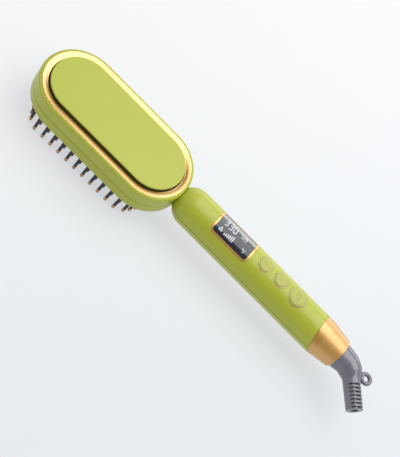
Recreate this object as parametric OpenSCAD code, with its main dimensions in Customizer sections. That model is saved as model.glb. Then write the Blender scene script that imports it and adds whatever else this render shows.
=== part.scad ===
// Hair straightening brush: pill-shaped heated head on a round handle, all sizes in millimetres.
// Built with x = 0 at the middle of the head and z = 0 at the pin tips, then centred on its own box.

/* [Head] */
// Straight length of the head between its two round ends
head_straight = 66.5; // [56:0.5:80]
// Radius of the round ends, half the width of the head
head_r = 29.5; // [28:0.5:33]
// Height of the lower shell's side wall
lower_h = 8.1; // [5.8:0.1:9]
// Height of the upper shell's side wall up to its rounded lip
upper_h = 9; // [8.6:0.1:12]
// Wall thickness of both head shells
head_wall = 1.6; // [1.2:0.1:2]
// Radius of the rounded lip at the top of the head
lip_r = 1.9; // [1.4:0.1:2.4]
// Radius of the lower shell's outer edge
foot_r = 1; // [0.4:0.1:1.2]
// Thickness of the roof that carries the ring and the panel
roof_t = 1.8; // [1.4:0.1:2.2]

/* [Ring and panel] */
// Width of the gold ring on top of the head
ring_w = 4.7; // [3.5:0.1:6]
// Thickness of the gold ring at its outer edge
ring_t = 2.1; // [1.6:0.1:2.4]
// How far the ring falls towards its inner edge
ring_fall = 0.7; // [0.3:0.1:0.9]
// Width of the dark groove between ring and panel
groove_w = 0.6; // [0.3:0.1:1]
// Full height of the raised panel
panel_h = 3.8; // [3:0.1:5]
// Wall thickness of the panel
panel_wall = 1.6; // [1.2:0.1:2]
// Radius of the panel's top edge
panel_edge = 0.8; // [0.3:0.1:1]
// Radius of the pegs under the panel
peg_r = 1.5; // [1:0.1:2]

/* [Pins and teeth] */
// Length of the outer pins below the head, tips included
pin_l = 17.4; // [12:0.1:22]
// Radius of an outer pin
pin_r = 1.15; // [0.7:0.05:1.3]
// Radius of the ball that ends a pin's tip
tip_r = 1.25; // [0.8:0.05:1.4]
// Length of a pin's tip, from its end to the dark shank
tip_l = 4.2; // [3:0.1:6]
// Distance between two pins of a long row
pin_pitch = 7.4; // [6.5:0.1:9]
// Distance from the long row of pins to the side of the head
pin_inset = 3.3; // [3.1:0.1:3.8]
// Distance from the middle end pin to the end of the head
end_inset = 11.75; // [10:0.25:12]
// Radius of the arc on which the end pins stand
end_arc_r = 38; // [33:0.5:42]
// How far the first end pin is set in from the long row
corner_drop = 3.5; // [2:0.1:4]
// Pins on each end arc, an odd number
end_pins = 11; // [7:2:11]
// Shift of the pins along the head
pin_shift = -1.4; // [-2:0.1:2]
// Rows of heated teeth
tooth_rows = 7; // [5:2:9]
// Shift of the tooth columns along the head
tooth_shift = -0.7; // [-3:0.1:3]
// How much shorter the heated teeth are than the pins
tooth_short = 2.2; // [1.5:0.1:6]
// Radius of a tooth at its root
tooth_root_r = 1.3; // [1.1:0.05:1.5]
// Radius of a tooth at its rounded end
tooth_end_r = 0.9; // [0.6:0.05:1]

/* [Heater] */
// How far the pin frame is set up into the head
frame_inset = 0.8; // [0.4:0.1:1.2]
// Thickness of the pin frame
frame_t = 3; // [2.6:0.1:3.4]
// Distance from the pins to the opening for the heating plate
frame_margin = 2.9; // [2.4:0.1:3.4]
// How far the plate's flange rests on the frame
flange_w = 1.5; // [1:0.1:1.8]
// Thickness of the plate's flange
flange_t = 1.2; // [0.8:0.1:1.4]
// Length of the ceramic heater
heater_l = 56; // [40:1:60]
// Width of the ceramic heater
heater_w = 14; // [10:0.5:16]
// Thickness of the ceramic heater
heater_t = 2.4; // [2:0.1:2.6]
// Thickness of the insulation sheet
mica_t = 0.5; // [0.3:0.1:0.6]
// Thickness of the pressure strip
strip_t = 1; // [0.6:0.1:1.2]
// Thickness of the heat shield under the roof
shield_t = 0.5; // [0.3:0.1:0.6]

/* [Handle] */
// Radius of the handle tube
handle_r = 13.9; // [13.5:0.1:16]
// Wall thickness of the handle shells
handle_wall = 1.8; // [1.5:0.1:2.2]
// Height of the handle's axis above the head's parting line
axis_rise = 2.4; // [2.2:0.1:2.6]
// How far the domed front of the handle runs into the head's outline
dome_in = 2.95; // [2.5:0.05:3.4]
// Length from the front of the dome to the middle of the collar's seam
handle_l = 134.5; // [130:0.5:150]
// Fall of the oblique collar seam, along the handle per unit of height
seam_slope = 0.38; // [0.2:0.01:0.45]

/* [Display] */
// Place of the display's front end, as a share of the handle's length
display_at = 0.2275; // [0.215:0.0025:0.24]
// Length of the display along the handle, bezel included
display_l = 32.5; // [28:0.5:34]
// Width of the display across the handle, bezel included
display_w = 19.7; // [16:0.1:21]
// Radius of the display's corners
display_r = 3; // [2.2:0.1:4]
// Width of the gold bezel
bezel_w = 1.2; // [0.8:0.1:1.6]
// How far gold trim stands proud of the handle
trim_proud = 0.15; // [0.05:0.05:0.3]

/* [Buttons] */
// Place of the plus button, as a share of the handle's length
plus_at = 0.554; // [0.55:0.001:0.565]
// Place of the minus button, as a share of the handle's length
minus_at = 0.661; // [0.655:0.001:0.67]
// Place of the power button, as a share of the handle's length
power_at = 0.7815; // [0.775:0.0005:0.79]
// Outer radius of the two small button rings
small_ring_r = 5.7; // [5:0.1:6]
// Outer radius of the power button's ring
power_ring_r = 7.3; // [6.5:0.1:7.5]
// Width of a button ring
button_ring_w = 1; // [0.7:0.1:1.2]
// Travel of a button
button_travel = 0.6; // [0.3:0.1:0.8]
// How far a button cap stands proud of the handle
cap_proud = 0.3; // [0.1:0.05:0.5]

/* [Electronics] */
// Height of the circuit board's underside above the handle's axis
board_rise = 2.2; // [1.8:0.1:2.6]
// Thickness of the circuit board
board_t = 1.6; // [1:0.1:2]
// Width of the circuit board
board_w = 21; // [18:0.5:22]
// Height of the display module on the board
module_h = 4; // [3:0.1:4.2]
// Height of a push switch on the board
switch_h = 3.5; // [3:0.1:3.6]
// Radius of a switch plunger
plunger_r = 1.6; // [1.2:0.1:1.8]

/* [End collar and cord swivel] */
// Length from the middle of the seam to the collar's mouth
collar_l = 19; // [17.5:0.5:23]
// Outer radius of the collar's mouth
mouth_r = 11.5; // [11:0.1:12.2]
// Radius of the neck where it leaves the collar
neck_r = 10; // [9.6:0.1:10.2]
// Length from the mouth to the bend of the neck
neck_l = 11.7; // [10.5:0.1:14]
// Angle between the sleeve and the handle's axis
bend = 50; // [40:1:60]
// Length of the sleeve from the bend to its end
sleeve_l = 30.8; // [28:0.2:36]
// Radius of the sleeve at the bend
sleeve_r = 6.2; // [5.8:0.1:6.6]
// Radius of the sleeve at its end
sleeve_end_r = 5.9; // [5.4:0.1:6.2]
// Radius of the bore for the cord
cord_bore_r = 2.8; // [2:0.1:3.2]
// Rows of slots in the sleeve
slot_rows = 7; // [5:1:7]
// Distance from the bend to the first row of slots
slot_at = 13.4; // [12.8:0.1:14]
// Distance between two rows of slots
slot_pitch = 2.6; // [2.2:0.1:2.6]
// Width of a slot
slot_w = 1.3; // [0.8:0.1:1.5]
// Depth of a slot
slot_depth = 1.8; // [1:0.1:2.2]
// Inner radius of the hanging ring
hang_r = 3.3; // [2.6:0.1:3.8]
// Radius of the hanging ring's round section
hang_section = 1.15; // [0.9:0.05:1.4]
// Distance of the hanging ring's centre from the sleeve's axis
hang_out = 13.1; // [12.5:0.1:14]
// Distance of the hanging ring's centre from the bend, along the sleeve
hang_along = 8.5; // [7.5:0.1:9.5]

/* [Hidden] */
$fn = 48;

// Colours
green = [0.66, 0.71, 0.2];
pale_green = [0.75, 0.8, 0.38];
gold = [0.88, 0.68, 0.28];
dark = [0.09, 0.09, 0.13];
tan = [0.83, 0.68, 0.47];
aluminium = [0.72, 0.73, 0.75];
steel = [0.6, 0.6, 0.62];
copper = [0.8, 0.5, 0.3];
grey = [0.5, 0.5, 0.53];
ceramic = [0.93, 0.92, 0.88];
mica = [0.8, 0.74, 0.6];
resin = [0.75, 0.35, 0.2];
cell = [0.2, 0.25, 0.22];
laminate = [0.1, 0.4, 0.22];
film = [0.75, 0.6, 0.2];
white_lead = [0.85, 0.85, 0.88];
dark_lead = [0.2, 0.2, 0.22];

// Clearances
fit = 0.1;        // between two parts that are fitted together
slip = 0.08;      // radial clearance of a turning fit
slack = 0.2;      // round parts that are dropped in
thread_gap = 0.02;
end_play = 0.15;  // along a turning fit
eps = 0.01;

// Heights in the head
edge_z = pin_l;
part_z = edge_z + lower_h;
shoulder_z = part_z + upper_h;
lip_z = shoulder_z + lip_r;
floor_z = lip_z - ring_t;
roof_z = floor_z - roof_t;
panel_z = floor_z + panel_h;
frame_z = edge_z + frame_inset;
frame_top = frame_z + frame_t;
ledge_t = 1.4;
ledge_top = frame_top + ledge_t;
flange_z = frame_top + flange_t;
axis_z = part_z + axis_rise;

// Radii in the head
half = head_straight / 2;
inner_r = head_r - head_wall;
ring_out = head_r - lip_r;
ring_in = ring_out - ring_w;
panel_r = ring_in - groove_w;
frame_r = inner_r - slack;
ledge_r = inner_r - 1.3;

// Pin and tooth field
pin_y = head_r - pin_inset;
end_x = half + head_r - end_inset;
arc_x = end_x - end_arc_r;
corner_x = arc_x + sqrt(end_arc_r * end_arc_r - pin_y * pin_y);
row_gap = 3.2;
row_half = floor((corner_x - row_gap) / pin_pitch);
end_angle = asin((pin_y - corner_drop) / end_arc_r);
end_half = (end_pins - 1) / 2;
plate_gap = 0.4;
plate_inset = frame_margin + plate_gap;
plate_bottom = frame_z + 0.4;
tooth_edge = 1.4;
tooth_pitch_y = (pin_y - plate_inset - tooth_edge) / ((tooth_rows - 1) / 2);
tip_sleeve_r = tip_r - 0.05;
pin_points = concat(
    [for (i = [-row_half : row_half], s = [-1, 1]) [pin_shift + i * pin_pitch, s * pin_y]],
    [for (i = [-end_half : end_half], s = [-1, 1]) let (a = i * end_angle / end_half)
        [pin_shift + s * (arc_x + end_arc_r * cos(a)), end_arc_r * sin(a)]]);
tooth_points = [for (j = [-row_half - 1 : row_half + 1],
        k = [-(tooth_rows - 1) / 2 : (tooth_rows - 1) / 2])
    let (x = tooth_shift + j * pin_pitch, y = k * tooth_pitch_y)
    if (norm([max(abs(x) - arc_x, 0), y]) <= end_arc_r - plate_inset - tooth_edge) [x, y]];

// Screws and posts of the head
screw_r = 1;
screw_head_r = 1.8;
screw_head_t = 1.2;
boss_r = 2.8;
pilot_r = 0.8;
frame_screw_angle = 33;
frame_screw_out = ledge_r - boss_r - 0.5;
frame_screw_points = [for (s = [-1, 1], t = [-1, 1])
    [s * (half + frame_screw_out * cos(frame_screw_angle)),
     t * frame_screw_out * sin(frame_screw_angle)]];
frame_screw_l = 8;
screw_sink = screw_head_t + 0.2;
recess_l = 1.2;
recess_w = 0.5;
post_r = 2;
post_points = [for (s = [-1, 1], t = [-1, 1]) [s * (half - 5.25), t * (head_r - 11)]];
peg_points = [for (s = [-1, 1], t = [-1, 1]) [s * 18, t * 12]];

// Heater stack
heater_top = flange_z + heater_t;
mica_top = heater_top + mica_t;
strip_top = mica_top + strip_t;
strip_end = heater_l / 2 + 10;
strip_w = 12;
strip_tab_w = 6;
strip_boss_r = 3;
strip_screw_l = 4;
strip_points = [for (s = [-1, 1]) [s * (strip_end - strip_boss_r), 0]];
mica_over = 2;
heater_mid = flange_z + heater_t / 2;
sensor_l = 8;
sensor_w = 4;
sensor_t = 2.2;
sensor_y = -heater_w / 2 - mica_over - 1 - sensor_w;
fuse_l = 10;
fuse_r = 2;
fuse_x = 9 - heater_l / 2;
fuse_y = heater_w / 2 + mica_over + 1 + 2 * fuse_r + 0.5;
fuse_z = flange_z + fuse_r;

// Neck link between head and handle
link_w = 13.8;
link_h = 4.7;
link_z = part_z;
link_top = link_z + link_h;
link_x0 = half + 8.75;
link_arm_w = 28;
link_arm_l = 8;
link_arm_t = 3;
link_screw_x = link_x0 + link_arm_l / 2 - 0.5;
link_screw_y = 11;
link_screw_l = link_arm_t + 1.6;
link_screw_points = [for (s = [-1, 1]) [link_screw_x, s * link_screw_y]];
groove_y = 4.6;
groove_half = 1.6;
groove_z = link_z + 1;

// Handle lengths
head_end = half + head_r;
dome_tip = head_end - dome_in;
dome_x = dome_tip + handle_r;
seam_x = dome_tip + handle_l;
bore_r = handle_r - handle_wall;
seat_r = handle_r - 1;
mouth_x = seam_x + collar_l;
link_x1 = dome_x + 12.3;
front_screw_x = dome_x + 6.3;
display_x = dome_tip + display_at * handle_l;
display_mid = display_x + display_l / 2;
button_x = [for (at = [plus_at, minus_at, power_at]) dome_tip + at * handle_l];
button_ring_r = [small_ring_r, small_ring_r, power_ring_r];
cap_r = [for (r = button_ring_r) r - button_ring_w - fit];
cap_t = 1.6;
stem_r = 1.5;

// Board and what stands on it
board_z = axis_z + board_rise;
board_top = board_z + board_t;
board_x0 = display_x + 0.6;
board_x1 = seam_x - 18.3;
switch_top = board_top + switch_h;
switch_half = 3;
plunger_up = 1.5;
plunger_in = 1.5;
board_screw_y = 7;
board_screw_x = [display_x + display_l + 3.6, board_x1 - 4];
rear_screw_x = board_x1 + 3.6;
handle_boss_r = 3;
handle_screw_r = 1.2;
handle_head_r = 2.2;
handle_head_t = 1.6;
thread_depth = 0.2;
screw_bite = 6;
board_bite = 4;
sink_z = axis_z - handle_r + 4.6;
over = 1;
trim_top = handle_r + 3;
key_span = max(button_ring_r) + 2;
key_flange = 0.9;
key_flange_r = bore_r - 0.2;
key_seat_r = bore_r - 1.2;
key_stem_r = bore_r - 0.6;
window_fit = 0.05;
module_gap = 0.4;
chip_size = [12, 8, 1.7];
triac_size = [14, 10, 4.5];
capacitor_size = [11, 8, 9];

// Leads
lead_sides = 8;
lead_r = 0.8;
wire_r = 0.45;
lead_bend = 2;
lead_low = groove_z + lead_r + fit;
wire_y = 0.8;
wire_end_y = -1.6;
wire_high = lead_low + lead_r + wire_r + 2 * fit;
board_mid = board_z + board_t / 2;

// Cord swivel
spigot_x0 = seam_x - 9.8;
spigot_r = bore_r - 0.05;
housing_bore = spigot_r - 1.4;
housing_r = housing_bore - 0.1;
rib_t = 1.7;
snap_r = 0.3;
lip_x1 = mouth_x - 2.3;
lip_x0 = lip_x1 - 2;
flange_t2 = 2.2;
core_flange_r = housing_r - 0.9;
core_shaft_r = core_flange_r - 1.3;
core_rear_r = 5;
core_flange_x1 = lip_x0 - end_play;
core_flange_x0 = core_flange_x1 - flange_t2;
housing_x1 = core_flange_x0 - end_play;
housing_wall = 2;
housing_bearing = 2.7;
chamber_r = housing_r - 1.2;
ring_seat_r = 4.4;
contact_ring_r = 6;
contact_ring_x1 = housing_x1 - housing_bearing - 1.2;
contact_ring_l = 3;
core_end_x = contact_ring_x1 - contact_ring_l - 1;
contact_pin_r = 1.4;
contact_pin_x0 = core_end_x - 1.2;
core_spigot_r = 6;
core_spigot_l = 6;
leaf_t = 0.4;
leaf_w = 3;

// Strain relief
bend_x = mouth_x + neck_l;
hang_flat = 0.25;
hang_mid = hang_r + hang_section - hang_flat;
hang_fin = 2.6;
slot_columns = [[-52, 65], [19, 58], [103, 58], [167, 65]];
elbow = 0.1;

// Middle of the whole object along the handle
far_x = bend_x + sleeve_l * cos(bend) + sleeve_end_r * sin(bend);
mid_x = (far_x - head_end) / 2;

// Flat shapes
module rect(x0, y0, x1, y1) translate([x0, y0]) square([x1 - x0, y1 - y0]);

module rounded_rect(l, w, r) {
    square([l - 2 * r, w], center = true);
    square([l, w - 2 * r], center = true);
    for (s = [-1, 1], t = [-1, 1]) translate([s * (l / 2 - r), t * (w / 2 - r)]) circle(r);
}

// Outline of the pin field, drawn in by a margin
module field(inset) intersection() {
    square([4 * end_x, 2 * (pin_y - inset)], center = true);
    union() {
        for (s = [-1, 1]) translate([s * arc_x, 0]) circle(end_arc_r - inset);
        square([2 * arc_x, 2 * (end_arc_r - inset)], center = true);
    }
}

module stadium(r) {
    for (s = [-1, 1]) translate([s * half, 0]) circle(r);
    square([head_straight, 2 * r], center = true);
}

// Solid swept round the head from a profile of radius and height
module round_head() {
    for (s = [0, 180]) rotate([0, 0, s]) {
        translate([half, 0, 0]) rotate([0, 0, -90]) rotate_extrude(angle = 180) children();
        translate([-half, 0, 0]) rotate([90, 0, 90]) linear_extrude(head_straight) children();
    }
}

// Places children at a point list, standing on a height
module at_points(points, z = 0) for (p = points) translate([p[0], p[1], z]) children();

// Round bar along the handle's axis from x0 to x1
module bar(x0, x1, r0, r1 = undef) translate([x0, 0, axis_z]) rotate([0, 90, 0])
    cylinder(h = x1 - x0, r1 = r0, r2 = is_undef(r1) ? r0 : r1);

function unit(v) = v / norm(v);

// Points of a round section about p, square to the direction d
function section(p, d, r) = let (u = unit(cross(d, [0, 0, 1])), v = cross(d, u))
    [for (i = [0 : lead_sides - 1]) let (a = 360 * i / lead_sides) p + r * (cos(a) * u + sin(a) * v)];

// Section slid along d on to the plane through p that is square to n
function slid(ring, p, d, n) = [for (q = ring) q + d * (((p - q) * n) / (d * n))];

// Sections at every bend of a route and at its end, each mitred between its two stretches
function mitred(route, i, ring) = i == len(route) - 1 ? [] :
    let (d = unit(route[i + 1] - route[i]),
        n = i + 2 < len(route) ? d + unit(route[i + 2] - route[i + 1]) : d,
        next = slid(ring, route[i + 1], d, n))
    concat(next, mitred(route, i + 1, next));

// Lead along a route, as one closed solid with flat ends
module lead(route, r) {
    start = section(route[0], unit(route[1] - route[0]), r);
    k = lead_sides;
    last = (len(route) - 1) * k;
    polyhedron(points = concat(start, mitred(route, 0, start)), faces = concat(
        [[for (j = [0 : k - 1]) j], [for (j = [k - 1 : -1 : 0]) last + j]],
        [for (i = [0 : k : last - k], j = [0 : k - 1]) [i + j, i + k + j, i + k + (j + 1) % k]],
        [for (i = [0 : k : last - k], j = [0 : k - 1]) [i + j, i + k + (j + 1) % k, i + (j + 1) % k]]));
}

// Screw pointing up, with its head below
module screw_up(r, l, head_r, head_t) {
    translate([0, 0, -eps]) cylinder(h = l + eps, r = r, $fn = 24);
    translate([0, 0, -head_t]) difference() {
        cylinder(h = head_t, r = head_r, $fn = 24);
        for (a = [0, 90]) rotate([0, 0, a]) cube([recess_l * head_r, recess_w, head_t], center = true);
    }
}

module screw_down(r, l, head_r, head_t) mirror([0, 0, 1]) screw_up(r, l, head_r, head_t);

// Head
module head_upper_shell() color(green) difference() {
    union() {
        round_head() {
            rect(0, roof_z, ring_out + eps, floor_z);
            rect(inner_r, part_z, head_r, shoulder_z);
            rect(ring_out, roof_z, head_r, shoulder_z);
            rect(inner_r - 1, ledge_top, inner_r - fit, part_z + 1);
            rect(inner_r - 1, part_z, inner_r + eps, part_z + 1);
            intersection() {
                translate([ring_out, shoulder_z]) circle(lip_r);
                rect(ring_out, roof_z, head_r, lip_z);
            }
        }
        at_points(frame_screw_points, frame_top)
            cylinder(h = roof_z - frame_top + eps, r = boss_r);
        at_points(post_points, flange_z) cylinder(h = roof_z - flange_z + eps, r = post_r);
        at_points(link_screw_points, link_top) cylinder(h = roof_z - link_top + eps, r = boss_r);
    }
    at_points(frame_screw_points, frame_top - eps)
        cylinder(h = frame_screw_l - frame_t + screw_sink + 1, r = pilot_r, $fn = 24);
    at_points(link_screw_points, link_top - eps)
        cylinder(h = roof_z - link_top, r = pilot_r, $fn = 24);
    at_points(peg_points, roof_z - 1) cylinder(h = roof_t + 2, r = peg_r + fit);
    translate([head_end - 6, -link_w / 2 - fit, ledge_top - 1])
        cube([12, link_w + 2 * fit, link_top + fit - ledge_top + 1]);
}

module head_lower_shell() color(green) round_head() {
    difference() {
        rect(inner_r, edge_z, head_r, part_z);
        translate([head_r - foot_r, edge_z + foot_r]) difference() {
            rect(0, -foot_r - eps, foot_r + eps, 0);
            circle(foot_r);
        }
    }
    rect(ledge_r, frame_top, inner_r + eps, ledge_top);
}

module trim_ring() color(gold) round_head()
    polygon([[ring_in, floor_z], [ring_out - 0.02, floor_z], [ring_out - 0.02, lip_z - 0.1],
        [ring_out - 0.15, lip_z], [ring_in + 0.3, lip_z - ring_fall],
        [ring_in, lip_z - ring_fall - 0.3]]);

module back_panel() color(pale_green) {
    round_head() {
        difference() {
            rect(0, floor_z, panel_r, panel_z);
            rect(-eps, floor_z - eps, panel_r - panel_wall, panel_z - panel_wall);
            translate([panel_r - panel_edge, panel_z - panel_edge]) difference() {
                rect(0, 0, panel_edge + eps, panel_edge + eps);
                circle(panel_edge);
            }
        }
    }
    at_points(peg_points, roof_z) cylinder(h = panel_z - panel_wall - roof_z + eps, r = peg_r);
}

// Pins and heater
module pin_frame() color(dark) difference() {
    translate([0, 0, frame_z]) linear_extrude(frame_t) difference() {
        stadium(frame_r);
        field(frame_margin);
    }
    at_points(frame_screw_points, frame_z - eps) {
        cylinder(h = screw_sink + eps, r = screw_head_r + slack, $fn = 24);
        cylinder(h = frame_t + 1, r = screw_r + fit, $fn = 24);
    }
}

module outer_pins() color(dark) at_points(pin_points, tip_l)
    cylinder(h = frame_z - tip_l, r = pin_r, $fn = 24);

module pin_tips() color(tan) at_points(pin_points, tip_r) {
    sphere(tip_r, $fn = 24);
    cylinder(h = tip_l - tip_r, r = tip_sleeve_r, $fn = 24);
}

module heating_plate() color(dark) difference() {
    union() {
        translate([0, 0, plate_bottom]) linear_extrude(flange_z - plate_bottom) field(plate_inset);
        translate([0, 0, frame_top]) linear_extrude(flange_t) field(frame_margin - flange_w);
        at_points(strip_points, flange_z - eps)
            cylinder(h = mica_top - flange_z + eps, r = strip_boss_r);
    }
    at_points(strip_points, mica_top - strip_screw_l)
        cylinder(h = strip_screw_l + 1, r = screw_r, $fn = 24);
}

module heated_teeth() color(dark) at_points(tooth_points, tooth_short + tooth_end_r) {
    sphere(tooth_end_r, $fn = 24);
    cylinder(h = plate_bottom - tooth_short - tooth_end_r, r1 = tooth_end_r, r2 = tooth_root_r, $fn = 24);
}

module ceramic_heater() color(ceramic)
    translate([-heater_l / 2, -heater_w / 2, flange_z]) cube([heater_l, heater_w, heater_t]);

module insulation_sheet() color(mica)
    translate([-heater_l / 2 - mica_over / 2, -heater_w / 2 - mica_over, heater_top])
        cube([heater_l + mica_over, heater_w + 2 * mica_over, mica_t]);

module pressure_strip() color(steel) difference() {
    translate([0, 0, mica_top]) linear_extrude(strip_t) {
        square([heater_l + mica_over, strip_w], center = true);
        square([2 * strip_end, strip_tab_w], center = true);
    }
    at_points(strip_points, mica_top - 1) cylinder(h = strip_t + 2, r = screw_r + fit, $fn = 24);
}

module strip_screws() color(steel) at_points(strip_points, strip_top)
    screw_down(screw_r - thread_gap, strip_screw_l, screw_head_r, screw_head_t);

module thermistor() color(resin) translate([-sensor_l / 2, sensor_y - sensor_w / 2, flange_z])
    cube([sensor_l, sensor_w, sensor_t]);

module thermal_fuse() color(ceramic) translate([fuse_x, fuse_y, fuse_z]) rotate([0, 90, 0])
    cylinder(h = fuse_l, r = fuse_r);

module heat_shield() color(mica) difference() {
    translate([0, 0, roof_z - shield_t]) linear_extrude(shield_t) stadium(frame_screw_out + 1);
    at_points(frame_screw_points, part_z) cylinder(h = roof_z, r = boss_r + slack);
    at_points(post_points, part_z) cylinder(h = roof_z, r = post_r + slack);
    at_points(link_screw_points, part_z) cylinder(h = roof_z, r = boss_r + slack);
}

module frame_screws() color(steel) at_points(frame_screw_points, frame_z + screw_sink)
    screw_up(pilot_r - thread_gap, frame_screw_l, screw_head_r, screw_head_t);

// Link that carries the head on the handle
module neck_link() color(dark) difference() {
    union() {
        translate([link_x0, -link_w / 2, link_z]) cube([link_x1 - link_x0, link_w, link_h]);
        translate([link_x0, -link_arm_w / 2, link_top - link_arm_t])
            cube([link_arm_l, link_arm_w, link_arm_t]);
    }
    for (s = [-1, 1]) {
        translate([link_x0 - 1, s * groove_y - groove_half, groove_z])
            cube([link_x1 - link_x0 + 2, 2 * groove_half, link_h]);
    }
    at_points(link_screw_points, link_z - 1) cylinder(h = link_h + 2, r = screw_r + fit, $fn = 24);
    translate([front_screw_x, 0, link_z - 1]) cylinder(h = link_h + 2, r = handle_screw_r + fit);
}

module link_screws() color(steel) at_points(link_screw_points, link_top - link_arm_t)
    screw_up(pilot_r - thread_gap, link_screw_l, screw_head_r, screw_head_t);

// Leads
module heater_leads() color(white_lead) {
    h = heater_l / 2;
    tail = [[link_x0 - lead_bend, groove_y, lead_low], [link_x1 + 2 * lead_r, groove_y, lead_low],
        [board_x0 - lead_r, groove_y, board_mid], [board_x0, groove_y, board_mid]];
    lead(concat([[fuse_x + fuse_l, fuse_y, fuse_z], [fuse_x + fuse_l + lead_bend, fuse_y, fuse_z],
        [h + 2 * lead_bend, fuse_y - 2 * lead_bend, fuse_z]], tail), lead_r);
    mirror([0, 1, 0]) lead(concat([[h, groove_y, heater_mid],
        [h + 2 * lead_bend, groove_y, heater_mid]], tail), lead_r);
    lead([[fuse_x, fuse_y, fuse_z], [fuse_x - lead_bend, fuse_y, fuse_z],
        [-h - 2 * lead_bend, fuse_y - lead_bend, fuse_z],
        [-h - 2 * lead_bend, groove_y + lead_bend, heater_mid],
        [-h - lead_bend, groove_y, heater_mid], [-h, groove_y, heater_mid]], lead_r);
}

module sensor_leads() color(dark_lead) for (s = [-1, 1]) {
    y = -groove_y + s * wire_y;
    lead([[sensor_l / 2, sensor_y + s * wire_y, flange_z + sensor_t / 2],
        [heater_l / 2, sensor_y + s * wire_y, flange_z + sensor_t / 2],
        [link_x0 - lead_bend, y, wire_high], [link_x1 + fit, y, wire_high],
        [board_x0 - lead_bend, wire_end_y + s * wire_y, board_mid],
        [board_x0, wire_end_y + s * wire_y, board_mid]], wire_r);
}

module supply_leads() color(dark_lead) for (s = [-1, 1])
    lead([[board_x1, s * groove_y, board_mid], [spigot_x0, s * groove_y, board_mid]], lead_r);

// Handle
module tube(r) {
    translate([dome_x, 0, axis_z]) sphere(r);
    bar(dome_x, mouth_x, r);
}

// Everything in front of the oblique seam, moved along by d
module before_seam(d = 0) translate([seam_x + d, 0, axis_z]) rotate([0, -atan(seam_slope), 0])
    translate([-300, -50, -200]) cube([300, 100, 400]);

module half_space(up) translate([0, -50, up ? axis_z : axis_z - 100]) cube([400, 100, 100]);

// Head outline that the handle is cut against
module head_cut() translate([half, 0, edge_z - fit])
    cylinder(h = lip_z - edge_z + 2 * fit, r = head_r + fit);

module link_hole() translate([dome_tip - 2, -link_w / 2 - fit, link_z - fit])
    cube([handle_r, link_w + 2 * fit, link_h + 2 * fit]);

module shell_half(up) difference() {
    intersection() {
        difference() {
            tube(handle_r);
            tube(bore_r);
        }
        before_seam();
        half_space(up);
    }
    head_cut();
    link_hole();
    bar(spigot_x0 + 1, spigot_x0 + 2.4, bore_r + snap_r + fit);
}

module end_rib(up) intersection() {
    difference() {
        bar(spigot_x0 - fit - rib_t, spigot_x0 - fit, bore_r + 0.3);
        bar(spigot_x0 - 5, spigot_x0 + 5, 7);
    }
    half_space(up);
}

module display_prism(inset, z0, z1) translate([display_mid, 0, axis_z + z0]) linear_extrude(z1 - z0)
    rounded_rect(display_l - 2 * inset, display_w - 2 * inset, display_r - inset);

// Post that runs from the tube's wall to a height
module wall_post(x, y, z, r, up) intersection() {
    tube(bore_r + handle_wall / 2);
    translate([x, y, up ? z : axis_z - handle_r])
        cylinder(h = up ? handle_r : z - axis_z + handle_r, r = r);
}

module handle_upper_shell() color(green) difference() {
    union() {
        shell_half(true);
        end_rib(true);
        wall_post(front_screw_x, 0, link_top, handle_boss_r, true);
        wall_post(rear_screw_x, 0, axis_z, handle_boss_r, true);
    }
    difference() {
        display_prism(-0.05, 0, handle_r + 5);
        bar(display_x - 5, display_x + display_l + 5, seat_r);
    }
    display_prism(bezel_w, 0, handle_r + 5);
    for (i = [0 : 2]) translate([button_x[i], 0, axis_z]) {
        cylinder(h = handle_r + 5, r = cap_r[i] + fit);
        difference() {
            cylinder(h = handle_r + 5, r = button_ring_r[i] + 0.05);
            translate([-10, 0, 0]) rotate([0, 90, 0]) cylinder(h = 20, r = seat_r);
        }
    }
    translate([front_screw_x, 0, link_top - eps])
        cylinder(h = screw_bite + 1, r = handle_screw_r - thread_depth);
    translate([rear_screw_x, 0, axis_z - eps])
        cylinder(h = screw_bite + 1, r = handle_screw_r - thread_depth);
}

module handle_lower_shell() color(green) difference() {
    union() {
        shell_half(false);
        end_rib(false);
        wall_post(front_screw_x, 0, link_z, handle_boss_r + 0.6, false);
        wall_post(rear_screw_x, 0, axis_z, handle_boss_r, false);
        for (x = board_screw_x, s = [-1, 1])
            wall_post(x, s * board_screw_y, board_z, handle_boss_r - 0.6, false);
    }
    for (x = [front_screw_x, rear_screw_x]) translate([x, 0, axis_z - handle_r - 1]) {
        cylinder(h = handle_r + 2, r = handle_screw_r + fit);
        cylinder(h = sink_z - axis_z + handle_r + 1, r = handle_head_r + slack);
    }
    for (x = board_screw_x, s = [-1, 1]) translate([x, s * board_screw_y, board_z - board_bite - 1])
        cylinder(h = board_bite + 2, r = pilot_r, $fn = 24);
}

module handle_screws() color(steel) for (p = [[front_screw_x, link_top], [rear_screw_x, axis_z]])
    translate([p[0], 0, sink_z]) screw_up(handle_screw_r - thread_depth - thread_gap,
        p[1] + screw_bite - sink_z, handle_head_r, handle_head_t);

// Display
module display_bezel() color(gold) intersection() {
    difference() {
        display_prism(0, 0, trim_top);
        display_prism(bezel_w, -over, trim_top + over);
    }
    difference() {
        bar(display_x - over, display_x + display_l + over, handle_r + trim_proud);
        bar(display_x - 2 * over, display_x + display_l + 2 * over, seat_r);
    }
}

module display_window() color([0.12, 0.13, 0.12]) intersection() {
    display_prism(bezel_w + window_fit, 0, trim_top);
    difference() {
        bar(display_x - over, display_x + display_l + over, handle_r - window_fit);
        bar(display_x - 2 * over, display_x + display_l + 2 * over, bore_r + 0.2);
    }
}

module display_module() color(cell) translate([display_mid - display_l / 2 + bezel_w + module_gap,
    -display_w / 2 + bezel_w, board_top])
        cube([display_l - 2 * (bezel_w + module_gap), display_w - 2 * bezel_w, module_h]);

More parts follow.
